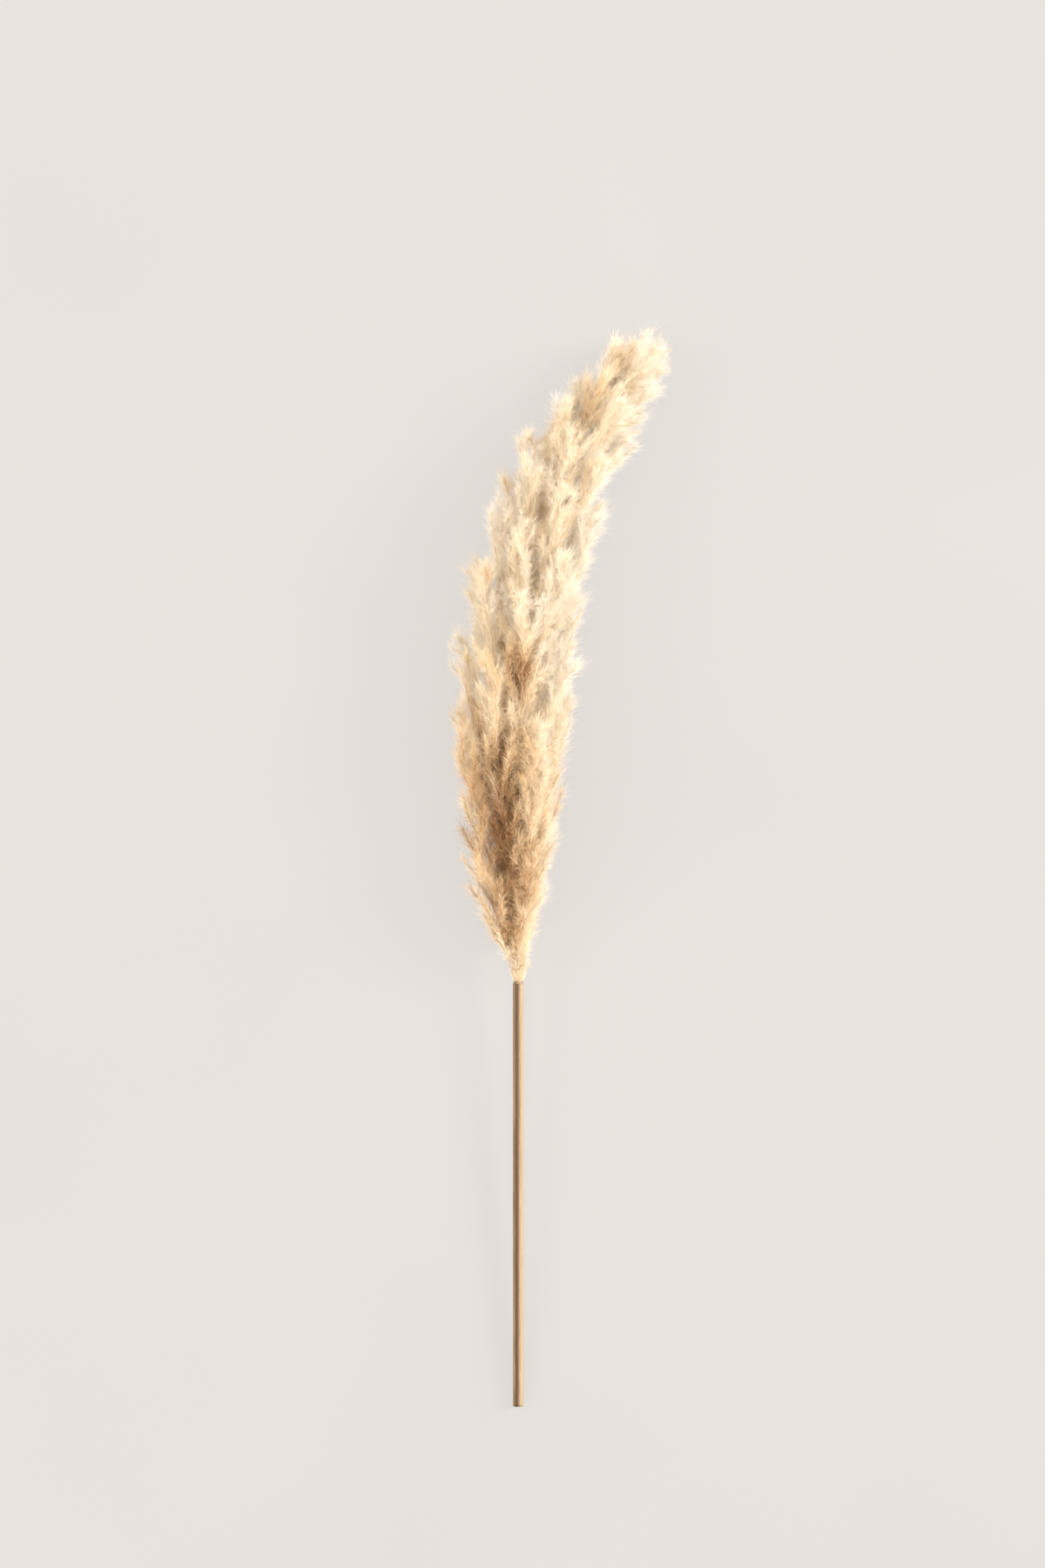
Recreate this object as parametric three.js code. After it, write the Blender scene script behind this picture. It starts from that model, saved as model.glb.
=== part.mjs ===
// Pampas grass stem: one cut and dried flower stem, lying on its side.
// The cut end is at -Y, the feathery plume at +Y, and the plume's top bends towards +X.
// Millimetres, +Z up. The stem rests on z = 0 on its cut end and on the plume's lower sprays.

import * as THREE from 'three';

// Stalk: one grown piece, a round culm that runs on through the plume as its thin rachis.
const stemLength = 330;          // cut end to the foot of the plume
const culmRadius = 3.1;
const rachisLength = 452;        // foot of the plume to the stalk's tip
const rachisTipRadius = 0.8;

// Leaf sheath: the dry sleeve wrapped round the culm, trimmed square below the plume.
const sheathWall = 0.65;
const sheathClearance = 0.3;
const neckLength = 9;            // culm left bare between the sheath's top and the plume's foot

// Collar: the ring of short hairs on the neck.
const collarClearance = 0.3;
const collarLength = 11;
const collarWall = 0.8;
const collarFlare = 1.9;         // how far its top stands out beyond its foot

// Lie: the straight stem climbs to the plume, which bends sideways and sags to the surface.
const footHeight = 23;           // height of the stalk's centre at the plume's foot
const crestDistance = 165;       // foot of the plume to the stalk's highest point
const tipHeight = 19.6;          // height of the stalk's centre at its tip
const bendStart = 150;           // foot of the plume to where it starts to bend sideways
const bendLength = 345;
const bendAngle = 47;            // degrees turned by the end of the bend
const bendPower = 1.6;           // above 1, the bend tightens towards the tip

// Sprays: the plume's side branches, soft feathery shapes set on the rachis in a spiral.
const sprayCount = 46;
const firstRoot = -4;            // foot of the plume to the lowest spray's root
const bareTip = 12;              // last spray's root to the stalk's tip
const spiralStart = 150;         // which way the lowest spray points: 0 is right, 90 is up
const spiralAngle = 137.5;       // degrees from each spray to the next
const lowerSprayLength = 196;
const upperSprayLength = 62;
const longSprays = 90;           // the lowest stretch of rachis, where sprays have full length
const lengthVariety = 0.16;      // share of its length that a spray may lack
const sprayFill = 0.89;          // share of the room between its neighbours that a spray fills
const sprayThickness = 0.7;      // a spray's thickness for its width: mm of rachis to a degree
const sprayFullest = 0.75;       // below 1, a spray is fullest nearer its foot
const sprayBluntness = 0.8;      // the lower, the blunter its two ends
const sprayClearance = 0.7;      // rachis surface to a spray's foot
const spreadSlope = 0.44;        // how steeply a spray leaves the rachis
const spreadEase = 200;          // length over which it turns along the rachis
const bendFollow = 0.7;          // how far a spray bends along with the rachis
const lowerLean = 0.13;          // share by which the lowest sprays stand out more on the left
const upperLean = -0.07;
const leanLength = 250;          // rachis over which the one turns into the other

const culmSides = 12;
const culmRings = 46;
const sheathSides = 20;
const collarSides = 14;
const spraySides = 8;
const sprayRings = 11;

const sheathInnerRadius = culmRadius + sheathClearance;
const sheathOuterRadius = sheathInnerRadius + sheathWall;
const sheathLength = stemLength - neckLength;
const stalkLength = stemLength + rachisLength;
const lastRoot = rachisLength - bareTip;
const rootSpacing = (lastRoot - firstRoot) / (sprayCount - 1);
const sprayHalfAngle = sprayFill * roomBetweenSprays();
const sprayHalfRoot = sprayThickness * sprayHalfAngle;
const plumeReach = lastRoot + upperSprayLength + sprayHalfRoot;

// The half width, in degrees, at which a spray would just touch its nearest neighbour.
function roomBetweenSprays() {
  let room = Infinity;
  for (let apart = 1; apart < sprayCount; apart++) {
    const turn = THREE.MathUtils.euclideanModulo(apart * spiralAngle + 180, 360) - 180;
    const rise = (apart * rootSpacing) / sprayThickness;
    room = Math.min(room, Math.hypot(rise, turn) / 2);
  }
  return room;
}

function material(colour, roughness) {
  return new THREE.MeshStandardMaterial({ color: colour, roughness, metalness: 0 });
}

const culmMaterial = material(0xc9a679, 0.6);
const sheathMaterial = material(0xd8b98c, 0.5);
const collarMaterial = material(0xcdb08a, 0.9);
const sprayMaterial = material(0xe8cfa6, 0.95);

// The centre line, walked in short steps. Each step keeps its place and the way it points.
const stepLength = 2.5;
const climb = Math.asin((footHeight - sheathOuterRadius) / stemLength);
const crestHeight = footHeight + (climb * crestDistance) / 2;
const sag = (2 * (crestHeight - tipHeight)) / (rachisLength - crestDistance) ** 2;

function headingAt(distance) {
  const along = Math.max(0, distance - stemLength - bendStart) / bendLength;
  return THREE.MathUtils.degToRad(bendAngle) * along ** bendPower;
}

function pitchAt(distance) {
  const past = distance - stemLength - crestDistance;
  return past > 0 ? -sag * past : climb * Math.min(1, -past / crestDistance);
}

function directionAt(distance) {
  const heading = headingAt(distance);
  const pitch = pitchAt(distance);
  const flat = Math.cos(pitch);
  return new THREE.Vector3(Math.sin(heading) * flat, Math.cos(heading) * flat, Math.sin(pitch));
}

function walkCentreLine() {
  const places = [new THREE.Vector3(0, 0, sheathOuterRadius * Math.cos(climb))];
  const stepCount = Math.ceil((stemLength + plumeReach) / stepLength);
  for (let i = 0; i < stepCount; i++) {
    const direction = directionAt((i + 0.5) * stepLength);
    places.push(places[i].clone().addScaledVector(direction, stepLength));
  }
  return places;
}

const centreLine = walkCentreLine();

function centreAt(distance) {
  const steps = THREE.MathUtils.clamp(distance / stepLength, 0, centreLine.length - 1.001);
  const i = Math.floor(steps);
  return centreLine[i].clone().lerp(centreLine[i + 1], steps - i);
}

// A point at a radius and an angle round the centre line: 0 is to the right, 90 degrees is up.
function around(centre, direction, radius, angle) {
  const right = new THREE.Vector3(direction.y, -direction.x, 0).normalize();
  const up = new THREE.Vector3().crossVectors(right, direction);
  return centre.clone()
    .addScaledVector(right, radius * Math.cos(angle))
    .addScaledVector(up, radius * Math.sin(angle));
}

// Moves every vertex of a geometry to where the function puts it.
function reshape(geometry, place) {
  const positions = geometry.attributes.position;
  const vertex = new THREE.Vector3();
  for (let i = 0; i < positions.count; i++) {
    vertex.fromBufferAttribute(positions, i);
    positions.setXYZ(i, ...place(vertex).toArray());
  }
  geometry.computeVertexNormals();
  return geometry;
}

// A lathe-turned shape whose own Y is the distance along the stalk, laid along the centre line.
function turnedAlongStalk(profile, sides) {
  const turned = new THREE.LatheGeometry(profile, sides);
  return reshape(turned, (vertex) => {
    const radius = Math.hypot(vertex.x, vertex.z);
    const angle = Math.atan2(vertex.z, vertex.x);
    return around(centreAt(vertex.y), directionAt(vertex.y), radius, angle);
  });
}

function stalkRadiusAt(distance) {
  const along = Math.max(0, distance - stemLength) / rachisLength;
  return THREE.MathUtils.lerp(culmRadius, rachisTipRadius, along);
}

function makeCulm() {
  const profile = [new THREE.Vector2(0, 0)];
  for (let i = 0; i <= culmRings; i++) {
    const distance = i === 0 ? 0 : stemLength + (rachisLength * (i - 1)) / (culmRings - 1);
    profile.push(new THREE.Vector2(stalkRadiusAt(distance), distance));
  }
  profile.push(new THREE.Vector2(0, stalkLength));
  return new THREE.Mesh(turnedAlongStalk(profile, culmSides), culmMaterial);
}

function makeLeafSheath() {
  const profile = [
    new THREE.Vector2(sheathInnerRadius, 0),
    new THREE.Vector2(sheathOuterRadius, 0),
    new THREE.Vector2(sheathOuterRadius, sheathLength),
    new THREE.Vector2(sheathInnerRadius, sheathLength),
    new THREE.Vector2(sheathInnerRadius, 0),
  ];
  return new THREE.Mesh(turnedAlongStalk(profile, sheathSides), sheathMaterial);
}

function makeCollar() {
  const foot = sheathLength + collarClearance;
  const top = foot + collarLength;
  const inner = culmRadius + collarClearance;
  const profile = [
    new THREE.Vector2(inner, foot),
    new THREE.Vector2(inner + collarWall, foot),
    new THREE.Vector2(inner + collarWall + collarFlare, top),
    new THREE.Vector2(inner, top - collarFlare),
    new THREE.Vector2(inner, foot),
  ];
  return new THREE.Mesh(turnedAlongStalk(profile, collarSides), collarMaterial);
}

// How far a spray stands from the rachis after a given reach along it, and the reach for a radius.
function spreadAt(reach) {
  return (spreadSlope * reach) / (1 + reach / spreadEase);
}

function reachFor(radius) {
  return radius / (spreadSlope - radius / spreadEase);
}

// The plume's weight presses its lower half together, more the lower it lies, so that at the
// stalk's highest point the sprays just meet the surface.
const looseDepth = spreadAt(lowerSprayLength);
const pressHold = (looseDepth * crestHeight) / (looseDepth - crestHeight);

function pressed(point, centre) {
  const below = centre.z - point.z;
  if (below > 0) {
    point.z = centre.z - below / (1 + below / pressHold);
  }
  return point;
}

// A place in the plume, by its root on the rachis, its reach along the spray and its angle.
// Every root and angle has its own path, and no two paths cross, so sprays can't overlap.
function placeInPlume(root, reach, angle) {
  const change = THREE.MathUtils.smoothstep(root, 0, leanLength);
  const lean = THREE.MathUtils.lerp(lowerLean, upperLean, change);
  const radius = spreadAt(reach) * (1 - lean * Math.cos(angle));
  const start = centreAt(stemLength + root);
  const turned = stemLength + root + bendFollow * reach;
  const centre = centreAt(turned).sub(start).divideScalar(bendFollow).add(start);
  return pressed(around(centre, directionAt(turned), radius, angle), centre);
}

// A number from 0 to 1 that looks random from spray to spray, but is always the same.
function varietyOf(index) {
  const wave = Math.sin(index * 12.9898 + 4.1) * 43758.5453;
  return wave - Math.floor(wave);
}

function sprayLengthAt(root, index) {
  const along = Math.max(0, root - longSprays) / (lastRoot - longSprays);
  const full = THREE.MathUtils.lerp(lowerSprayLength, upperSprayLength, along);
  return full * (1 - lengthVariety * varietyOf(index));
}

// A spray is a spindle, fullest below its middle, whose section follows the plume round.
function makeSpray(index) {
  const root = firstRoot + rootSpacing * index;
  const middle = THREE.MathUtils.degToRad(spiralStart + spiralAngle * index);
  const halfAngle = THREE.MathUtils.degToRad(sprayHalfAngle);
  const length = sprayLengthAt(root, index);
  const foot = reachFor(stalkRadiusAt(stemLength + root) + sprayClearance);
  const profile = [];
  for (let i = 0; i <= sprayRings; i++) {
    const along = i / sprayRings;
    const swell = Math.max(0, Math.sin(Math.PI * along ** sprayFullest));
    profile.push(new THREE.Vector2(i < sprayRings ? swell ** sprayBluntness : 0, along));
  }
  const spindle = new THREE.LatheGeometry(profile, spraySides);
  return new THREE.Mesh(reshape(spindle, (vertex) => placeInPlume(
    root + sprayHalfRoot * vertex.x,
    THREE.MathUtils.lerp(foot, length, vertex.y),
    middle - halfAngle * vertex.z,
  )), sprayMaterial);
}

const group = new THREE.Group();

function add(name, mesh) {
  mesh.name = name;
  group.add(mesh);
}

add('culm', makeCulm());
add('leaf_sheath', makeLeafSheath());
add('collar_hairs', makeCollar());
for (let i = 0; i < sprayCount; i++) {
  add(`spray_${String(i + 1).padStart(2, '0')}`, makeSpray(i));
}

// The origin is under the middle of the whole stem, on the surface it lies on.
const box = new THREE.Box3().setFromObject(group);
const middle = box.getCenter(new THREE.Vector3());
group.position.set(-middle.x, -middle.y, -box.min.z);
group.updateMatrixWorld(true);

export default group;
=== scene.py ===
import math

import bpy
import numpy as np
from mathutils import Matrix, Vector


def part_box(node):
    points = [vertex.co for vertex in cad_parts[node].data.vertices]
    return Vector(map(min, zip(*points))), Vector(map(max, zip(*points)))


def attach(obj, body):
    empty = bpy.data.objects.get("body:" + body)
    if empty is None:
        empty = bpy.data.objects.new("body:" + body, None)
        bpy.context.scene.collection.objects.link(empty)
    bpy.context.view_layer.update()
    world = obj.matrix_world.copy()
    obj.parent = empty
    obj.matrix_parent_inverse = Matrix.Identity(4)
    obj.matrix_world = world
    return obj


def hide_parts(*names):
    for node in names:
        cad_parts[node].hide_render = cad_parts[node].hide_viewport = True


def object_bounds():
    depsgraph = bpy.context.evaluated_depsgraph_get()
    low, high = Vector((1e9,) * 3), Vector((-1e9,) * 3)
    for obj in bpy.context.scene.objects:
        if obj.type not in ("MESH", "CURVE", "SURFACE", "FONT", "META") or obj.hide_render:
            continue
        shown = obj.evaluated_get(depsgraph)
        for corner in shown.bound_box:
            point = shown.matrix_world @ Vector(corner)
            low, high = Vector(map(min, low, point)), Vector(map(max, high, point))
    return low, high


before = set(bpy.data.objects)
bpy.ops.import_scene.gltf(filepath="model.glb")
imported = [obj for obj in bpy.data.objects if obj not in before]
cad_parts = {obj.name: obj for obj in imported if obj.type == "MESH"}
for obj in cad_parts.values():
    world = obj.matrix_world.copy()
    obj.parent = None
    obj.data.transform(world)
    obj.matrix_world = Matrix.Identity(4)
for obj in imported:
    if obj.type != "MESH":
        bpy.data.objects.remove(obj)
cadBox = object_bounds()
lowCorner, highCorner = [np.array(corner) for corner in cadBox]
boxMiddle = (lowCorner + highCorner) / 2
print("stem loaded,", len(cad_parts), "parts")


camera = {
    "height": 3.3,          # straight above the stem, looking down
    "seen": 1.188,          # length of surface in view, from foot to head
    "right": -0.0278,       # from the middle of the stem's box
    "up": 0.0669,
}


def addCamera():
    data = bpy.data.cameras.new("camera")
    data.sensor_fit = "VERTICAL"
    data.sensor_height = 36.0
    data.lens = data.sensor_height * camera["height"] / camera["seen"]
    data.clip_end = 20.0
    made = bpy.data.objects.new("camera", data)
    made.location = (boxMiddle[0] + camera["right"], boxMiddle[1] + camera["up"], camera["height"])
    bpy.context.scene.collection.objects.link(made)
    bpy.context.scene.camera = made


class Wire:
    # one output socket, which can be added, multiplied and so on
    def __init__(self, finish, socket):
        self.finish = finish
        self.socket = socket

    def maths(self, operation, *values):
        return self.finish.add("Math", {"operation": operation}, dict(enumerate(values)))

    def __add__(self, other):
        return self.maths("ADD", self, other)

    def __radd__(self, other):
        return self.maths("ADD", other, self)

    def __sub__(self, other):
        return self.maths("SUBTRACT", self, other)

    def __rsub__(self, other):
        return self.maths("SUBTRACT", other, self)

    def __mul__(self, other):
        return self.maths("MULTIPLY", self, other)

    def __rmul__(self, other):
        return self.maths("MULTIPLY", other, self)

    def __abs__(self):
        return self.maths("ABSOLUTE", self)

    def within(self, low, high):
        # 0 below low, 1 above high
        sockets = {0: self, 1: low, 2: high}
        return self.finish.add("MapRange", {"interpolation_type": "SMOOTHSTEP"}, sockets)


class Finish:
    # one material, built node by node
    def __init__(self, name):
        self.material = bpy.data.materials.new(name)
        self.material.use_nodes = True
        self.tree = self.material.node_tree
        self.tree.nodes.clear()

    def add(self, kind, settings=None, sockets=None, out=0):
        node = self.tree.nodes.new("ShaderNode" + kind)
        for name, value in (settings or {}).items():
            if name == "stops":
                setStops(node.color_ramp, value)
            else:
                setattr(node, name, value)
        for name, value in (sockets or {}).items():
            if isinstance(value, Wire):
                self.tree.links.new(value.socket, node.inputs[name])
            else:
                node.inputs[name].default_value = value
        return Wire(self, node.outputs[out] if node.outputs else None)

    def ramp(self, value, stops):
        return self.add("ValToRGB", {"stops": stops}, {0: value})

    def blend(self, amount, first, second):
        return self.add("Mix", {"data_type": "RGBA"}, {0: amount, 6: first, 7: second}, out=2)

    def noise(self, vector, scale, detail=2.0):
        return self.add("TexNoise", None, {"Vector": vector, "Scale": scale, "Detail": detail})

    def stretched(self, vector, scales):
        return self.add("VectorMath", {"operation": "MULTIPLY"}, {0: vector, 1: scales})

    def bump(self, height, strength, distance):
        sockets = {"Height": height, "Strength": strength, "Distance": distance}
        return self.add("Bump", None, sockets)

    def showing(self, shader):
        self.add("OutputMaterial", None, {"Surface": shader})
        return self.material


def setStops(ramp, stops):
    while len(ramp.elements) < len(stops):
        ramp.elements.new(1.0)
    for element, (place, colour) in zip(ramp.elements, stops):
        element.position = place
        element.color = (*colour, 1.0)


reading = {
    # how the curves are read from the stem's solids
    "straight": 0.03,           # length of stem below the plume that the bend is fitted to
    "rachisTerms": 7,           # of the curve through the rachis
    "rachisRings": 140,
    "sprayTerms": 4,            # of the curve through a spray
}


def cornersOf(node):
    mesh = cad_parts[node].data
    points = np.empty(len(mesh.vertices) * 3)
    mesh.vertices.foreach_get("co", points)
    return np.unique(points.reshape(-1, 3).round(7), axis=0)


def unit(vectors):
    return vectors / np.linalg.norm(vectors, axis=-1, keepdims=True)


def readStem():
    # the straight stem, from its leaf sheath
    points = cornersOf("leaf_sheath")
    middle = points.mean(0)
    way = np.linalg.svd(points - middle)[2][0]
    way = way * np.sign(way[1])
    along = (points - middle) @ way
    radius = np.linalg.norm(points - middle - np.outer(along, way), axis=1).max()
    return {
        "start": middle + way * along.min(),
        "end": middle + way * along.max(),
        "way": way,
        "radius": radius,
    }


def readRachis(stem):
    # the stalk's bent top, as x and z over y, from the culm
    points = cornersOf("culm")
    bent = points[points[:, 1] > stem["end"][1] - reading["straight"]]
    origin = stem["end"][1]
    reach = bent[:, 1].max() - origin
    terms = np.vander((bent[:, 1] - origin) / reach, reading["rachisTerms"])
    fit = np.linalg.lstsq(terms, bent[:, [0, 2]], rcond=None)[0]
    steps = np.linspace(0.0, 1.0, reading["rachisRings"])
    sideAndHeight = np.vander(steps, reading["rachisTerms"]) @ fit
    return np.column_stack([sideAndHeight[:, 0], origin + reach * steps, sideAndHeight[:, 1]])


def lineAt(line, along):
    return np.vander(along.ravel(), reading["sprayTerms"]) @ line


def readSpray(node):
    # a spray's middle line as a cubic, and half its width and thickness as two vectors
    points = cornersOf(node)
    far = points[np.linalg.norm(points - points.mean(0), axis=1).argmax()]
    other = points[np.linalg.norm(points - far, axis=1).argmax()]
    foot, tip = sorted((far, other), key=lambda point: point[1])
    chord = tip - foot
    along = (points - foot) @ chord / (chord @ chord)
    line = np.linalg.lstsq(np.vander(along, reading["sprayTerms"]), points, rcond=None)[0]
    off = points - lineAt(line, along)
    axes = np.linalg.eigh(off.T @ off)[1]
    wide, thick = axes[:, 2], axes[:, 1]
    return {
        "node": node,
        "line": line,
        "length": np.linalg.norm(chord),
        "wide": wide * np.abs(off @ wide).max(),
        "thick": thick * np.abs(off @ thick).max(),
    }


stem = readStem()
rachis = readRachis(stem)
sprays = [readSpray(node) for node in sorted(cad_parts) if node.startswith("spray")]
plumeFoot = stem["end"][1]
plumeHead = highCorner[1]
print("stalk and", len(sprays), "sprays measured")


def addPiece(name, corners, faces, places, finish):
    # faces are triangles; places are the texture places of their corners
    mesh = bpy.data.meshes.new(name)
    mesh.vertices.add(len(corners))
    mesh.vertices.foreach_set("co", corners.astype(np.float32).ravel())
    mesh.loops.add(len(faces) * 3)
    mesh.loops.foreach_set("vertex_index", faces.astype(np.int32).ravel())
    mesh.polygons.add(len(faces))
    mesh.polygons.foreach_set("loop_start", np.arange(0, len(faces) * 3, 3, dtype=np.int32))
    mesh.polygons.foreach_set("use_smooth", np.ones(len(faces), bool))
    layer = mesh.uv_layers.new(name="OFBake")
    layer.data.foreach_set("uv", places.astype(np.float32).ravel())
    mesh.update(calc_edges=True)
    mesh.materials.append(finish)
    piece = bpy.data.objects.new(name, mesh)
    bpy.context.scene.collection.objects.link(piece)
    return piece


def joined(bundles):
    # several bundles of strands as one set of corners, faces and places
    corners, faces, places, count = [], [], [], 0
    for bundle in bundles:
        corners.append(bundle[0])
        faces.append(bundle[1] + count)
        places.append(bundle[2])
        count += len(bundle[0])
    return np.concatenate(corners), np.concatenate(faces), np.concatenate(places)


def strandFaces(rings, sides):
    # the triangles of one strand: a point, some rings and a point
    last = 1 + rings * sides
    faces = []
    for side in range(sides):
        here, after = 1 + side, 1 + (side + 1) % sides
        faces.append((0, after, here))
        for ring in range(rings - 1):
            low, high = ring * sides, (ring + 1) * sides
            faces.append((low + here, low + after, high + after))
            faces.append((low + here, high + after, high + here))
        top = (rings - 1) * sides
        faces.append((top + here, top + after, last))
    return np.array(faces)


strand = {
    "toneWidth": 0.02,          # width of a strand's stripe on the texture
    "belly": 0.7,               # under 1, a hair is thickest nearer its foot
    "thinnest": 0.05,           # at its ends, for its thickest
}


def makeStrands(middles, radii, sides, tones, spin):
    # middles: strands x points x 3. The first and last points are the strand's two ends.
    count, points = middles.shape[:2]
    ways = unit(np.gradient(middles, axis=1))
    across = unit(np.cross(ways, spin[:, None, :]))
    over = np.cross(ways, across)
    angles = np.arange(sides) * 2 * math.pi / sides
    inner = slice(1, points - 1)
    ringWay = (
        across[:, inner, None] * np.cos(angles)[:, None]
        + over[:, inner, None] * np.sin(angles)[:, None]
    )
    ringCorners = middles[:, inner, None] + ringWay * radii[:, inner, None, None]
    rings = points - 2
    corners = np.concatenate(
        [middles[:, :1], ringCorners.reshape(count, rings * sides, 3), middles[:, -1:]], axis=1
    )
    toneWidth = strand["toneWidth"]
    stripe = np.tile(np.linspace(0.0, toneWidth, sides), rings)
    stripe = np.concatenate([[toneWidth / 2], stripe, [toneWidth / 2]])
    along = np.repeat(np.linspace(0.0, 1.0, points)[1:-1], sides)
    along = np.concatenate([[0.0], along, [1.0]])
    pattern = strandFaces(rings, sides)
    size = corners.shape[1]
    faces = (pattern[None] + np.arange(count)[:, None, None] * size).reshape(-1, 3)
    tones = np.clip(tones, 0.0, 1.0) * (1 - toneWidth)
    across = (tones[:, None] + stripe[None])[:, pattern]
    upward = np.broadcast_to(along[pattern], across.shape)
    places = np.stack([across, upward], axis=-1).reshape(-1, 2)
    return corners.reshape(-1, 3), faces, places


def curvedStrands(chance, starts, ways, lengths, radius, curl, points, sides, tones):
    # strands that leave their starts along ways and curl a little, each its own way
    steps = np.linspace(0.0, 1.0, points)
    sway = chance.normal(0.0, curl, starts.shape)
    reach = (
        (ways * lengths[:, None])[:, None] * steps[None, :, None]
        + sway[:, None] * (steps**2)[None, :, None]
    )
    swell = np.sin(math.pi * steps ** strand["belly"])
    spin = unit(chance.normal(0.0, 1.0, starts.shape))
    radii = radius[:, None] * np.maximum(swell, strand["thinnest"])[None]
    return makeStrands(starts[:, None] + reach, radii, sides, tones, spin)


def leaning(ways, outward, opened):
    # ways turned outward by the angles in opened
    return ways * np.cos(opened)[:, None] + outward * np.sin(opened)[:, None]


def aroundWays(ways, angles):
    # a unit vector at a right angle to each way, turned by its angle
    helper = np.where(np.abs(ways[..., 2:]) < 0.8, [0.0, 0.0, 1.0], [1.0, 0.0, 0.0])
    across = unit(np.cross(ways, helper))
    over = np.cross(ways, across)
    return across * np.cos(angles)[..., None] + over * np.sin(angles)[..., None]


spray = {
    "branchRadius": 0.0004,
    "rooted": 0.007,            # how far below its foot a branch leaves the rachis
    "branchPoints": 26,
    "branchSides": 7,
    "branchSpin": (0.3, 0.2, 0.93),
    "thinning": 0.25,           # a branch's radius at its tip, for that at its foot
    "tuftEvery": 0.0058,        # along the branch
    "fewestTufts": 9,
    "first": 0.01,              # first and last tuft, from 0 to 1 along the branch
    "last": 0.96,
    "furthest": 0.97,           # with the unevenness of their places
    "unevenness": 0.008,
    "crowding": 1.25,           # over 1, tufts stand closer towards the foot
    "tuftLength": 0.034,
    "tuftLengths": (0.75, 1.2), # shortest and longest, for that
    "endLength": 0.72,          # share of it at the branch's ends
    "middleLength": 0.28,       # and this much more half-way
    "leastLength": 0.02,        # for the branch's length
    "tuftRadius": 0.0002,
    "tuftPoints": 10,
    "reach": 1.0,               # sideways, for the width of the spray's solid
    "fullAt": 0.75,             # under 1, a spray is widest nearer its foot
    "fullness": 0.7,            # under 1, it is full over more of its length
    "leastReach": 0.0085,
    "leastThick": 0.8,          # share of that upward
    "shortTuft": 0.02,          # tufts shorter than this reach less
    "footReach": 0.55,          # share of the least reach at the plume's foot
    "footHeights": (0.01, 0.07),        # that share holds up to the first of these
    "outward": 0.2,             # how much further tufts reach away from the rachis
    "overshoot": 0.98,          # how far tufts reach, for the branch's length
    "ragged": 0.03,             # how unevenly they end
    "headRoom": 0.011,          # tufts stop this far below the plume's head
    "wave": 0.0018,
    "waves": 4.2,               # radians of it along a tuft
    "bend": 0.6,                # share of a tuft's reach where its width is measured
    "early": 1.3,               # over 1, a tuft leaves the branch sooner than it flattens
    "thicker": 1.35,            # upward, for the thickness of the spray's solid
    "tuftSpread": (0.45, 1.25), # least and most sideways reach, for the full one
    "lowTufts": 10,             # extra ones near the feet of the lowest sprays
    "lowHeight": 0.1,           # fewer towards this height above the plume's foot
    "lowSpan": (0.02, 0.3),     # where they stand along the branch
    "goldenAngle": 2.39996,
}

spikelet = {
    "every": 0.0015,            # along the tuft
    "fewest": 6,
    "first": 0.1,               # the lowest, from 0 to 1 along the tuft
    "length": 0.008,
    "radius": 0.00025,
    "lengths": (0.7, 1.2),      # shortest and longest, for that
    "radii": (0.6, 1.15),
    "open": 0.24,               # angle to the tuft
    "opens": (0.45, 1.35),
    "footOpen": 1.2,            # share of the angle at the tuft's foot
    "closing": 0.55,            # and this much less at its tip
    "footLength": 1.1,          # the same two for the length
    "shortening": 0.35,
    "laid": 0.4,                # how far these angles close at the plume's foot
    "laidHeights": (0.01, 0.1),
    "curl": 0.0024,
}

silk = {
    "perSpikelet": 13,
    "length": 0.0096,
    "lengths": (0.45, 1.45),    # shortest and longest, for that
    "fluff": (0.65, 1.2),       # the same for a whole tuft's silk
    "highest": 0.7,             # along the spikelet
    "radius": 0.00008,
    "radii": (0.7, 1.2),
    "open": 0.35,
    "opens": (0.1, 1.4),
    "curl": 0.0036,
}

tone = {
    # 0 is brown and 1 is nearly white, from the plume's foot to its head
    "places": (0.0, 0.06, 0.14, 0.24, 0.34, 0.45, 0.6, 0.8, 1.0),
    "values": (0.7, 0.75, 0.67, 0.58, 0.61, 0.74, 0.84, 0.84, 0.78),
    "inner": -0.62,             # darker next to the rachis, less so towards the head: partly the hairs' own brown, partly painted shade inside the plume
    "innerReach": 0.023,
    "innerPlaces": (0.0, 0.12, 0.3, 0.45, 1.0),
    "innerShares": (0.1, 0.5, 0.9, 0.3, 0.2),
    "sunnySide": 0.2,           # painted light: the side towards the key lamp is paler, most of all low down
    "sunnyWidth": 0.016,
    "patches": 0.1,
    "patchSize": 0.011,
    "sunnyFade": 1.2,           # over 1, the head's right side gets painted light too
    "sunnyLeast": -0.4,         # painted shade: the left side is darker by no more than this
    "spotAt": 0.485,            # one dark spot part of the way up, partly brown hairs and partly painted shade
    "spotReach": 0.01,
    "spotLong": (1.0, 0.6),     # under 1, the spot is longer that way
    "spot": -0.55,
    "streakAt": 0.25,           # a long dark streak low down, left of the rachis, partly brown hairs and partly painted shade
    "streakSide": -0.01,
    "streakWidth": 0.01,
    "streakLength": 0.055,
    "streak": -0.34,
    "tuftVariety": 0.08,
    "spikelet": 0.05,           # spikelets are paler than the silk round them
    "spikeletVariety": 0.19,
    "silk": -0.04,
    "silkVariety": 0.08,
    "branch": -0.22,
}

rest = {
    "height": 0.005,            # hairs lower than this bend along the surface
    "room": 0.009,              # hairs may pass the stem's box by this
    "roomShare": 0.03,          # and by this share of its side
}


def restOnSurface(points):
    low = points[:, 2] < rest["height"]
    bent = rest["height"] * np.exp(np.minimum(points[:, 2], rest["height"]) / rest["height"] - 1)
    points[:, 2] = np.where(low, bent, points[:, 2])
    return points


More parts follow.
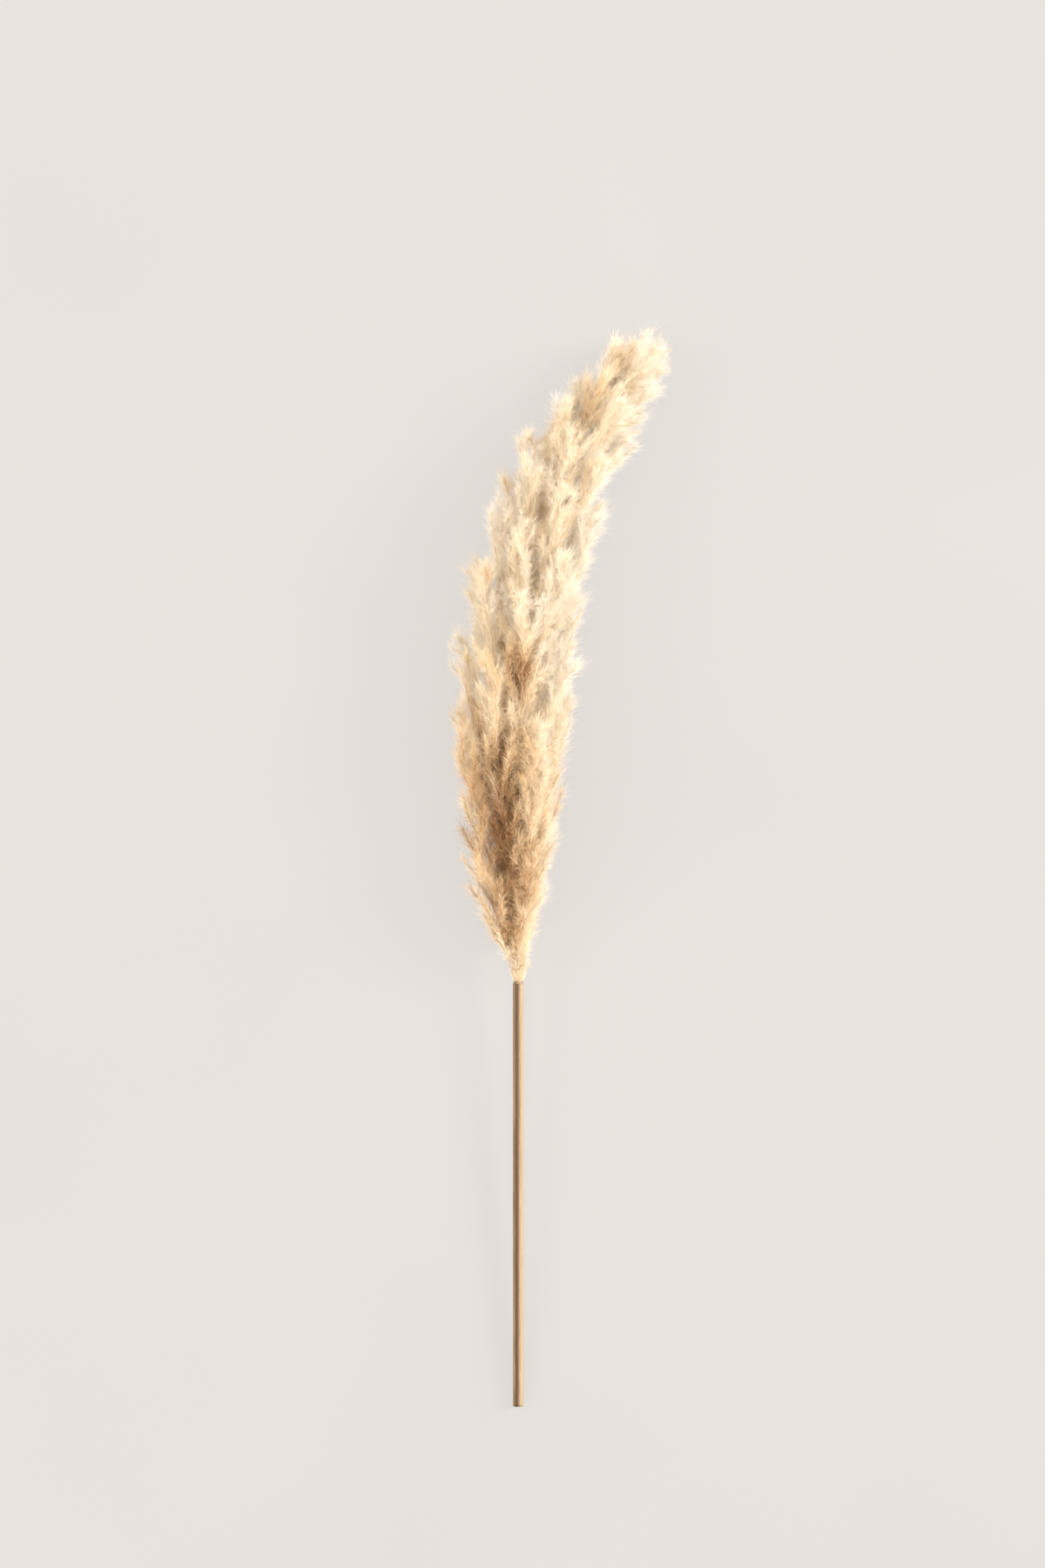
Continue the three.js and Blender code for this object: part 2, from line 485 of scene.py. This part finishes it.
def heldIn(points):
    # the furthest hairs are drawn in, so that the plume keeps to its own size
    for axis in (0, 2):
        room = rest["room"] + rest["roomShare"] * (highCorner[axis] - lowCorner[axis])
        for side, edge in ((1, highCorner[axis]), (-1, lowCorner[axis])):
            past = side * (points[:, axis] - edge)
            kept = room * np.tanh(past / room)
            points[:, axis] = np.where(past > 0, edge + side * kept, points[:, axis])
    return points


def rachisAt(heights):
    heights = np.asarray(heights)
    side = np.interp(heights, rachis[:, 1], rachis[:, 0])
    return np.column_stack([side, heights, np.interp(heights, rachis[:, 1], rachis[:, 2])])


def toneAt(points):
    along = (points[:, 1] - plumeFoot) / (plumeHead - plumeFoot)
    off = np.linalg.norm(points - rachisAt(points[:, 1]), axis=1)
    side = (points[:, 0] - rachisAt(points[:, 1])[:, 0]) / tone["sunnyWidth"]
    x, y, z = (points / tone["patchSize"]).T
    patches = np.sin(x + 0.8 * np.sin(0.37 * y)) * np.sin(0.31 * y + 1.7 * z + 1.1)
    # a dark spot and a dark streak, each partly brown hairs and partly painted shade
    spot = rachisAt([plumeFoot + tone["spotAt"] * (plumeHead - plumeFoot)])
    fromSpot = (points - spot)[:, :2] * tone["spotLong"]
    brownAndShade = tone["spot"] * np.exp(-(fromSpot**2).sum(1) / tone["spotReach"] ** 2)
    across = (points - rachisAt(points[:, 1]))[:, 0] - tone["streakSide"]
    upward = (along - tone["streakAt"]) * (plumeHead - plumeFoot)
    fromStreak = (across / tone["streakWidth"]) ** 2 + (upward / tone["streakLength"]) ** 2
    brownAndShade = brownAndShade + tone["streak"] * np.exp(-fromStreak)
    innerShare = np.interp(along, tone["innerPlaces"], tone["innerShares"])
    return (
        np.interp(along, tone["places"], tone["values"])
        # partly the hairs' own brown, partly painted shade inside the plume
        + tone["inner"] * np.exp(-((off / tone["innerReach"]) ** 2)) * innerShare
        # painted light on the right side, towards the key lamp, and painted shade on the left side
        + tone["sunnySide"] * np.tanh(np.maximum(side, tone["sunnyLeast"])) * (tone["sunnyFade"] - along)
        + tone["patches"] * patches
        + brownAndShade
    )


def waved(lines, chance):
    # tufts' middle lines, each with a slight wave of its own
    steps = np.linspace(0.0, 1.0, lines.shape[1])
    sway = chance.normal(0.0, spray["wave"], (len(lines), 1, 3))
    return lines + sway * np.sin(spray["waves"] * steps)[None, :, None]


def tuftLines(branch, chance):
    # middle lines of the tufts along a branch: tufts x points x 3
    count = max(spray["fewestTufts"], round(branch["length"] / spray["tuftEvery"]))
    span = spray["last"] - spray["first"]
    starts = spray["first"] + span * np.linspace(0.0, 1.0, count) ** spray["crowding"]
    starts = starts + chance.normal(0.0, spray["unevenness"], count)
    footHeight = lineAt(branch["line"], np.zeros(1))[0, 1] - plumeFoot
    nearness = max(0.0, 1 - footHeight / spray["lowHeight"])
    more = chance.uniform(*spray["lowSpan"], round(spray["lowTufts"] * nearness))
    starts = np.clip(np.concatenate([starts, more]), 0.0, spray["furthest"])
    count = len(starts)
    angles = np.arange(count) * spray["goldenAngle"] + chance.uniform(0, 6.28)
    lengths = spray["endLength"] + spray["middleLength"] * np.sin(math.pi * starts)
    lengths = spray["tuftLength"] * lengths * chance.uniform(*spray["tuftLengths"], count)
    tipHeight = lineAt(branch["line"], np.ones(1))[0, 1]
    tooHigh = max(0.0, tipHeight + spray["headRoom"] - plumeHead) / branch["length"]
    longest = spray["overshoot"] - tooHigh + chance.normal(0.0, spray["ragged"], count)
    reach = np.clip(longest - starts, spray["leastLength"], lengths / branch["length"])
    middle = np.clip(starts + reach * spray["bend"], 0.0, 1.0)
    fullness = np.sin(math.pi * middle ** spray["fullAt"]) ** spray["fullness"] * spray["reach"]
    wideWay, thickWay = unit(branch["wide"]), unit(branch["thick"])
    shortness = np.minimum(1.0, reach * branch["length"] / spray["shortTuft"])
    least = spray["leastReach"] * shortness
    least = least * np.minimum(1.0, 0.4 + 3 * starts)
    low = lineAt(branch["line"], middle)[:, 1] - plumeFoot
    least = least * np.interp(low, spray["footHeights"], (spray["footReach"], 1.0))
    wide = np.maximum(np.linalg.norm(branch["wide"]) * fullness, least)
    thick = np.linalg.norm(branch["thick"]) * fullness * spray["thicker"]
    thick = np.maximum(thick, least * spray["leastThick"])
    side = (np.cos(angles) * wide)[:, None] * wideWay + (np.sin(angles) * thick)[:, None] * thickWay
    middles = lineAt(branch["line"], middle)
    outward = unit(middles - rachisAt(middles[:, 1]))
    outward = (unit(side) * outward).sum(1) * spray["outward"]
    side = side * ((1 + outward) * chance.uniform(*spray["tuftSpread"], count))[:, None]
    steps = np.linspace(0.0, 1.0, spray["tuftPoints"])
    along = starts[:, None] + reach[:, None] * steps[None]
    lines = lineAt(branch["line"], along).reshape(count, len(steps), 3)
    away = steps * (spray["early"] - (spray["early"] - 1) * steps)
    lines = lines + side[:, None] * away[None, :, None]
    return waved(lines, chance), reach * branch["length"], angles


footTuft = {
    # tufts on the rachis that fill the plume's foot between the lowest sprays
    "most": 32,                 # round one spray's foot
    "height": 0.15,             # fewer towards this
    "least": 0.26,
    "around": (-0.011, 0.01),   # lowest and highest on the rachis, from the spray's foot
    "length": 0.034,
    "lengths": (0.6, 1.2),      # shortest and longest, for that
    "open": 0.5,
    "opens": (0.15, 1.0),
    "narrow": 0.55,             # share of that angle at the plume's very foot
    "narrowHeight": 0.06,
}


def footTufts(branch, chance):
    foot = lineAt(branch["line"], np.zeros(1))[0]
    nearness = max(0.0, 1 - (foot[1] - plumeFoot) / footTuft["height"])
    nearness = max(nearness, footTuft["least"])
    count = round(footTuft["most"] * nearness)
    starts = rachisAt(foot[1] + chance.uniform(*footTuft["around"], count))
    ways = unit(rachisAt(starts[:, 1] + 0.01) - starts)
    angles = np.arange(count) * spray["goldenAngle"]
    opened = footTuft["open"] * chance.uniform(*footTuft["opens"], count) * max(nearness, 0.5)
    height = min(1.0, (foot[1] - plumeFoot) / footTuft["narrowHeight"])
    opened = opened * (footTuft["narrow"] + (1 - footTuft["narrow"]) * height)
    outward = aroundWays(ways, angles)
    lengths = footTuft["length"] * chance.uniform(*footTuft["lengths"], count)
    steps = np.linspace(0.0, 1.0, spray["tuftPoints"])
    ways = leaning(ways, outward, opened)
    lines = starts[:, None] + (ways * lengths[:, None])[:, None] * steps[None, :, None]
    return waved(lines, chance), lengths, angles


def makeSpray(index, branch, finish):
    chance = np.random.default_rng(100 + index)
    middle = lineAt(branch["line"], np.linspace(0.0, 1.0, spray["branchPoints"]))
    inRachis = rachisAt(middle[:1, 1] - spray["rooted"])
    middle = np.concatenate([inRachis, middle])[None]
    radii = spray["branchRadius"] * np.linspace(1.0, spray["thinning"], middle.shape[1])[None]
    halfWay = spray["branchPoints"] // 2 - 1
    branchTone = toneAt(middle[0, halfWay : halfWay + 1]) + tone["branch"]
    spin = np.array([spray["branchSpin"]])
    bundles = [makeStrands(middle, radii, spray["branchSides"], branchTone, spin)]

    sets = zip(tuftLines(branch, chance), footTufts(branch, chance))
    lines, lengths, angles = [np.concatenate(pair) for pair in sets]
    tuftTone = chance.normal(0.0, tone["tuftVariety"], len(lines))
    tuftRadii = spray["tuftRadius"] * np.linspace(1.0, 0.5, lines.shape[1])[None]
    tuftRadii = np.repeat(tuftRadii, len(lines), axis=0)
    spin = unit(chance.normal(0.0, 1.0, (len(lines), 3)))
    stalkTone = toneAt(lines[:, 4]) + tuftTone + tone["branch"]
    bundles.append(makeStrands(lines, tuftRadii, 4, stalkTone, spin))

    # spikelets along each tuft
    counts = np.maximum(spikelet["fewest"], (lengths / spikelet["every"]).astype(int))
    owner = np.repeat(np.arange(len(lines)), counts)
    order = np.concatenate([np.arange(n) for n in counts])
    count = len(order)
    first = spikelet["first"]
    along = first + (1 - first) * (order + chance.uniform(0, 1, count)) / counts[owner]
    place = np.clip(along, 0.0, 0.999) * (lines.shape[1] - 1)
    low = place.astype(int)
    part = (place - low)[:, None]
    here, after = lines[owner, low], lines[owner, low + 1]
    starts = here + (after - here) * part
    ways = unit(after - here)
    turned = aroundWays(ways, order * spray["goldenAngle"] + angles[owner])
    middleHeight = lines[:, spray["tuftPoints"] // 2, 1] - plumeFoot
    laid = np.interp(middleHeight, spikelet["laidHeights"], (spikelet["laid"], 1.0))
    opened = spikelet["open"] * chance.uniform(*spikelet["opens"], count)
    opened = opened * (spikelet["footOpen"] - spikelet["closing"] * along) * laid[owner]
    spikeWays = unit(leaning(ways, turned, opened))
    spikeLengths = spikelet["length"] * chance.uniform(*spikelet["lengths"], count)
    spikeLengths = spikeLengths * (spikelet["footLength"] - spikelet["shortening"] * along)
    ends = starts + spikeWays * spikeLengths[:, None]
    placeTone = toneAt(ends) + tuftTone[owner]
    spikeTone = placeTone + chance.normal(tone["spikelet"], tone["spikeletVariety"], count)
    radius = spikelet["radius"] * chance.uniform(*spikelet["radii"], count)
    bundles.append(curvedStrands(
        chance, starts, spikeWays, spikeLengths, radius, spikelet["curl"], 4, 3, spikeTone
    ))

    # silky hairs round each spikelet
    whose = np.repeat(np.arange(count), silk["perSpikelet"])
    count = len(whose)
    foot = spikeLengths[whose] * chance.uniform(0.0, silk["highest"], count)
    starts = starts[whose] + spikeWays[whose] * foot[:, None]
    turned = aroundWays(spikeWays[whose], chance.uniform(0, 6.28, count))
    opened = silk["open"] * chance.uniform(*silk["opens"], count) * laid[owner[whose]]
    ways = unit(leaning(spikeWays[whose], turned, opened))
    fluff = chance.uniform(*silk["fluff"], len(lines))
    lengths = silk["length"] * chance.uniform(*silk["lengths"], count) * fluff[owner[whose]]
    radius = silk["radius"] * chance.uniform(*silk["radii"], count)
    hairTone = placeTone[whose] + chance.normal(tone["silk"], tone["silkVariety"], count)
    bundles.append(curvedStrands(chance, starts, ways, lengths, radius, silk["curl"], 3, 3, hairTone))

    corners, faces, places = joined(bundles)
    corners = heldIn(restOnSurface(corners))
    piece = addPiece(branch["node"].replace("_", ""), corners, faces, places, finish)
    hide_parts(branch["node"])
    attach(piece, "root")
    return len(faces)


feather = {
    # place on the shade, 0 for the darkest hair, and colour
    "shades": [
        (0.0, (0.22, 0.095, 0.032)),
        (0.25, (0.52, 0.275, 0.11)),
        (0.45, (0.86, 0.59, 0.3)),
        (0.65, (0.97, 0.8, 0.55)),
        (0.85, (0.985, 0.895, 0.745)),
        (1.0, (0.99, 0.945, 0.885)),
    ],
    "tipsPaler": 0.16,          # from a hair's foot to its tip
    "roughness": 0.5,
    "shine": 0.25,
    "through": (0.99, 0.935, 0.83, 1.0),
    "leastThrough": 0.12,       # brown hairs let less light through
    "moreThrough": 0.6,
}


def featherFinish():
    finish = Finish("dry feather")
    place = finish.add("UVMap", {"uv_map": "OFBake"})
    paleness = finish.add("SeparateXYZ", None, {0: place}, out=0)
    along = finish.add("SeparateXYZ", None, {0: place}, out=1)
    shade = paleness + (along - 0.5) * feather["tipsPaler"]
    surface = finish.add("BsdfPrincipled", None, {
        "Base Color": finish.ramp(shade, feather["shades"]),
        "Roughness": feather["roughness"],
        "Specular IOR Level": feather["shine"],
    })
    through = finish.add("BsdfTranslucent", None, {"Color": feather["through"]})
    amount = shade * feather["moreThrough"] + feather["leastThrough"]
    return finish.showing(finish.add("MixShader", None, {0: amount, 1: surface, 2: through}))


stalk = {
    "radius": 0.0031,
    "tipRadius": 0.0008,
    "sides": 40,
    "rings": 40,                # along its straight part
    "ribs": 13,
    "ribHeight": 0.00004,
    "pithDepth": 0.0005,
    "pithRoughness": 0.12,
    "cutEnd": (
        # share of the radius, share of the pith's depth and place on the texture
        (0.3, 1.0, 0.02),
        (0.6, 0.9, 0.04),
        (0.8, 0.8, 0.055),
        (0.86, 0.1, 0.06),      # the pith ends here and the rind begins
        (0.985, 0.0, 0.075),
    ),
    "dark": (0.14, 0.08, 0.04),
    "middle": (0.24, 0.155, 0.088),
    "pale": (0.33, 0.23, 0.145),
    "roughness": 0.45,
}

sheath = {
    "innerRadius": 0.0034,
    "sides": 84,
    "rings": 150,
    "veins": 26,
    "veinHeight": 0.00003,
    "lap": 0.00025,             # how far the overlapping edge stands out
    "lapAt": 1.85,              # angle of that edge, from +X round to the top
    "lapWander": 0.05,
    "rim": 0.00012,             # how uneven its upper edge is
    "rimShare": 0.02,           # of its length that the edge bends
    "dark": (0.115, 0.067, 0.031),
    "middle": (0.188, 0.122, 0.063),
    "pale": (0.26, 0.18, 0.1),
    "roughness": 0.35,
    "streak": (0.052, 0.023, 0.009),    # along the overlapping edge: partly a darker seam, partly painted shade
    "streakOff": 0.005,         # this and the next three in turns round the sheath
    "streakCore": 0.015,
    "streakEdge": 0.11,
    "streakWander": 0.05,
    "streakStrength": 0.95,
    "bleached": (0.43, 0.315, 0.185),   # painted light: the paler side towards the key lamp
    "bleachedRange": (0.25, 0.42),      # in turns from the side away from the key lamp
    "bleachedStrength": 0.5,
}

collar = {
    "hairs": 2600,
    "length": 0.008,
    "lengths": (0.5, 1.3),      # shortest and longest, for that
    "radius": 0.00009,
    "radii": (0.6, 1.2),
    "open": 0.3,
    "opens": (0.1, 1.0),
    "curl": 0.0012,
    "crowding": 1.6,            # over 1, hairs stand closer towards the sheath
    "lowest": 0.0002,           # above the sheath
    "span": 0.95,               # share of the collar's length with hairs
    "sunk": 0.97,               # where they start, for the stalk's radius
    "tone": 0.66,
    "variety": 0.16,
}


def ringAt(middle, way, radii, angles):
    across = unit(np.array([way[1], -way[0], 0.0]))
    over = np.cross(across, way)
    turned = across * np.cos(angles)[:, None] + over * np.sin(angles)[:, None]
    return middle + turned * radii[:, None]


def skin(rings, upward, closed):
    # triangles over a stack of rings; closed joins the last ring to the first, or else the first
    # and last rings close on their middles
    count, sides = len(rings), len(rings[0])
    corners = np.concatenate(rings)
    faces, places = [], []
    for ring in range(count if closed else count - 1):
        after = (ring + 1) % count
        for side in range(sides):
            a, b = ring * sides + side, ring * sides + (side + 1) % sides
            c, d = after * sides + (side + 1) % sides, after * sides + side
            left, right = side / sides, (side + 1) / sides
            low, high = upward[ring], upward[ring + 1]
            faces += [(a, b, c), (a, c, d)]
            places += [(left, low), (right, low), (right, high)]
            places += [(left, low), (right, high), (left, high)]
    if not closed:
        first, last = len(corners), len(corners) + 1
        ends = [rings[0].mean(0), rings[-1].mean(0)]
        corners = np.concatenate([corners, ends])
        base = (count - 1) * sides
        for side in range(sides):
            after = (side + 1) % sides
            middle = (side + 0.5) / sides
            left, right = side / sides, (side + 1) / sides
            faces += [(first, after, side), (last, base + side, base + after)]
            places += [(middle, 0.0), (right, upward[0]), (left, upward[0])]
            places += [(middle, 1.0), (left, upward[-1]), (right, upward[-1])]
    return corners, np.array(faces), np.array(places)


def makeStalk(finish):
    angles = np.arange(stalk["sides"]) * 2 * math.pi / stalk["sides"]
    ribs = stalk["ribHeight"] * np.cos(angles * stalk["ribs"])
    steps = np.linspace(0.0, 1.0, stalk["rings"])[:-1, None]
    straight = steps * (stem["end"] - stem["start"]) + stem["start"]
    middles = np.concatenate([straight, rachis])
    ways = unit(np.gradient(middles, axis=0))
    distance = np.concatenate([[0.0], np.cumsum(np.linalg.norm(np.diff(middles, axis=0), axis=1))])
    stemLength = np.linalg.norm(stem["end"] - stem["start"])
    thinning = np.clip((distance - stemLength) / (distance[-1] - stemLength), 0.0, 1.0)
    radii = stalk["radius"] + (stalk["tipRadius"] - stalk["radius"]) * thinning
    chance = np.random.default_rng(7)
    rings, upward = [], []
    # the cut end: pith that has shrunk back a little inside a hard rind
    for share, depth, place in stalk["cutEnd"]:
        rough = chance.normal(0.0, stalk["pithRoughness"], stalk["sides"]) * depth
        ring = ringAt(middles[0], ways[0], np.full(stalk["sides"], radii[0] * share), angles)
        rings.append(ring + np.outer(stalk["pithDepth"] * (depth + rough), ways[0]))
        upward.append(place)
    for middle, way, radius, far in zip(middles, ways, radii, distance):
        rings.append(ringAt(middle, way, radius + ribs * radius / radii[0], angles))
        upward.append(0.08 + 0.9 * far / distance[-1])
    corners, faces, places = skin(rings, upward, closed=False)
    piece = addPiece("stalk", corners, faces, places, finish)
    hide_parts("culm")
    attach(piece, "root")


def makeSheath(finish):
    sides = sheath["sides"]
    angles = np.arange(sides) * 2 * math.pi / sides
    steps = np.linspace(0.0, 1.0, sheath["rings"])
    chance = np.random.default_rng(11)
    rim = chance.normal(0.0, sheath["rim"], sides)
    rim = (rim + np.roll(rim, 1) + np.roll(rim, -1)) / 3
    outer, inner = [], []
    for step in steps:
        middle = stem["start"] + (stem["end"] - stem["start"]) * step
        lapAt = sheath["lapAt"] + sheath["lapWander"] * math.sin(3.1 * step + 0.7)
        past = np.mod(angles - lapAt, 2 * math.pi) / (2 * math.pi)
        veins = sheath["veinHeight"] * np.cos(angles * sheath["veins"] + 2.0 * step)
        radii = stem["radius"] - sheath["veinHeight"] - sheath["lap"] * past + veins
        trim = max(0.0, step - 1 + sheath["rimShare"]) / sheath["rimShare"]
        out = ringAt(middle, stem["way"], radii, angles)
        outer.append(out + np.outer(rim * trim, stem["way"]))
        back = ringAt(middle, stem["way"], np.full(sides, sheath["innerRadius"]), angles)
        inner.append(back + np.outer(rim * trim, stem["way"]))
    rings = outer + inner[::-1]
    upward = np.concatenate([0.01 + 0.79 * steps, 0.82 + 0.16 * steps, [0.99]])
    corners, faces, places = skin(rings, upward, closed=True)
    piece = addPiece("leafSheath", corners, faces, places, finish)
    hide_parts("leaf_sheath")
    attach(piece, "root")


def makeCollar(finish):
    chance = np.random.default_rng(23)
    low, high = [np.array(corner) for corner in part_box("collar_hairs")]
    count = collar["hairs"]
    along = chance.uniform(0.0, 1.0, count) ** collar["crowding"]
    span = (high[1] - low[1]) * collar["span"]
    middles = stem["end"] + stem["way"] * (collar["lowest"] + span * along)[:, None]
    outward = aroundWays(np.repeat(stem["way"][None], count, axis=0), chance.uniform(0, 6.28, count))
    opened = collar["open"] * chance.uniform(*collar["opens"], count)
    ways = unit(leaning(stem["way"], outward, opened))
    lengths = collar["length"] * chance.uniform(*collar["lengths"], count)
    radius = collar["radius"] * chance.uniform(*collar["radii"], count)
    starts = middles + outward * stalk["radius"] * collar["sunk"]
    tones = collar["tone"] + chance.normal(0.0, collar["variety"], count)
    bundle = curvedStrands(chance, starts, ways, lengths, radius, collar["curl"], 4, 3, tones)
    piece = addPiece("collarHairs", *bundle, finish)
    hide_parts("collar_hairs")
    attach(piece, "root")


straw = {
    # grain: stretch along the stem, size, detail
    "fibres": ((1.0, 0.02, 1.0), 1900.0, 3.0),
    "broad": ((1.0, 0.05, 1.0), 420.0, 2.0),
    "flecks": ((1.0, 0.3, 1.0), 700.0, 1.0),
    "shadePlaces": (0.32, 0.5, 0.68),
    "fleckRange": (0.66, 0.74),
    "fleckStrength": 0.6,
    "roughnessRange": 0.25,
    "shine": 0.25,
    "bumpStrength": 0.35,
    "bumpDepth": 0.0003,
}


def strawFinish(name, look):
    # look: the piece's own dictionary. A streak in it also gives the sheath's dark stripe, partly
    # painted shade, and its painted light on one side.
    finish = Finish(name)
    place = finish.add("TexCoord", None, None, out=3)
    fibres, broad, flecks = [
        finish.noise(finish.stretched(place, stretch), size, detail)
        for stretch, size, detail in (straw["fibres"], straw["broad"], straw["flecks"])
    ]
    shade = fibres * 0.5 + broad * 0.5
    stops = zip(straw["shadePlaces"], (look["dark"], look["middle"], look["pale"]))
    colour = finish.ramp(shade, list(stops))
    spots = flecks.within(*straw["fleckRange"]) * straw["fleckStrength"]
    colour = finish.blend(spots, colour, (*look["dark"], 1.0))
    # a dark stripe along the overlapping edge, partly a darker seam and partly painted shade
    if "streak" in look:
        places = finish.add("UVMap", {"uv_map": "OFBake"})
        around = finish.add("SeparateXYZ", None, {0: places}, out=0)
        wander = (broad - 0.5) * look["streakWander"]
        lap = look["lapAt"] / (2 * math.pi)
        off = abs(around + wander - (lap + look["streakOff"]))
        stripe = 1.0 - off.within(look["streakCore"], look["streakEdge"])
        colour = finish.blend(stripe * look["streakStrength"], colour, (*look["streak"], 1.0))
        # painted light: the side that faces the key lamp is paler
        away = abs(around - 0.5)
        bleached = away.within(*look["bleachedRange"]) * look["bleachedStrength"]
        colour = finish.blend(bleached, colour, (*look["bleached"], 1.0))
    surface = finish.add("BsdfPrincipled", None, {
        "Base Color": colour,
        "Roughness": fibres * straw["roughnessRange"] + look["roughness"],
        "Specular IOR Level": straw["shine"],
        "Normal": finish.bump(fibres, straw["bumpStrength"], straw["bumpDepth"]),
    })
    return finish.showing(surface)


floor = {
    "size": 40.0,
    "colour": (0.05, 0.047, 0.044),
    "mottle": (0.5, 0.47, 0.45),
    "mottleStrength": 0.04,
    "mottleSize": 3.0,
    "glow": 0.625,              # a lit table, so that shadows stay faint
    "glowColour": (1.0, 0.95, 0.905),
}

lights = {
    # name: direction from the plume, distance, size, power
    "key": ((1.0, 0.25, 0.52), 6.0, 2.5, 620.0),
    "fill": ((-1.0, 0.0, 0.6), 5.5, 2.9, 240.0),
    "top": ((-0.1, 0.1, 1.0), 4.2, 3.0, 100.0),
}
aimHeight = 0.03
sky = {"colour": (1.0, 0.985, 0.965), "strength": 1.4}


def makeFloor():
    half = floor["size"] / 2
    mesh = bpy.data.meshes.new("floor")
    corners = [(-half, -half, 0), (half, -half, 0), (half, half, 0), (-half, half, 0)]
    mesh.from_pydata(corners, [], [(0, 1, 2, 3)])
    made = bpy.data.objects.new("floor", mesh)
    bpy.context.scene.collection.objects.link(made)
    finish = Finish("pale surface")
    place = finish.add("TexCoord", None, None, out=3)
    mottled = finish.noise(place, floor["mottleSize"]) * floor["mottleStrength"]
    colour = finish.blend(mottled, (*floor["colour"], 1.0), (*floor["mottle"], 1.0))
    mesh.materials.append(finish.showing(finish.add("BsdfPrincipled", None, {
        "Base Color": colour,
        "Roughness": 0.9,
        "Specular IOR Level": 0.1,
        "Emission Color": (*floor["glowColour"], 1.0),
        "Emission Strength": floor["glow"],
    })))


def makeLights():
    aim = np.array([boxMiddle[0], (plumeFoot + plumeHead) / 2, aimHeight])
    for name, (direction, distance, size, power) in lights.items():
        data = bpy.data.lights.new(name, "AREA")
        data.shape = "DISK"
        data.size = size
        data.energy = power
        made = bpy.data.objects.new(name, data)
        way = unit(np.array(direction))
        made.location = aim + way * distance
        made.rotation_mode = "QUATERNION"
        made.rotation_quaternion = (made.location - Vector(aim)).to_track_quat("Z", "Y")
        bpy.context.scene.collection.objects.link(made)
    world = bpy.data.worlds.new("soft sky")
    world.use_nodes = True
    background = world.node_tree.nodes["Background"]
    background.inputs["Color"].default_value = (*sky["colour"], 1.0)
    background.inputs["Strength"].default_value = sky["strength"]
    bpy.context.scene.world = world


addCamera()
makeFloor()
makeLights()
bpy.context.scene.view_settings.view_transform = "Standard"
print("camera, floor and lights placed")

hairFinish = featherFinish()
makeStalk(strawFinish("dry culm", stalk))
makeSheath(strawFinish("dry leaf sheath", sheath))
makeCollar(hairFinish)
print("stalk, sheath and collar made")

faceCount = sum(makeSpray(index, branch, hairFinish) for index, branch in enumerate(sprays))
print("sprays made,", faceCount, "faces")
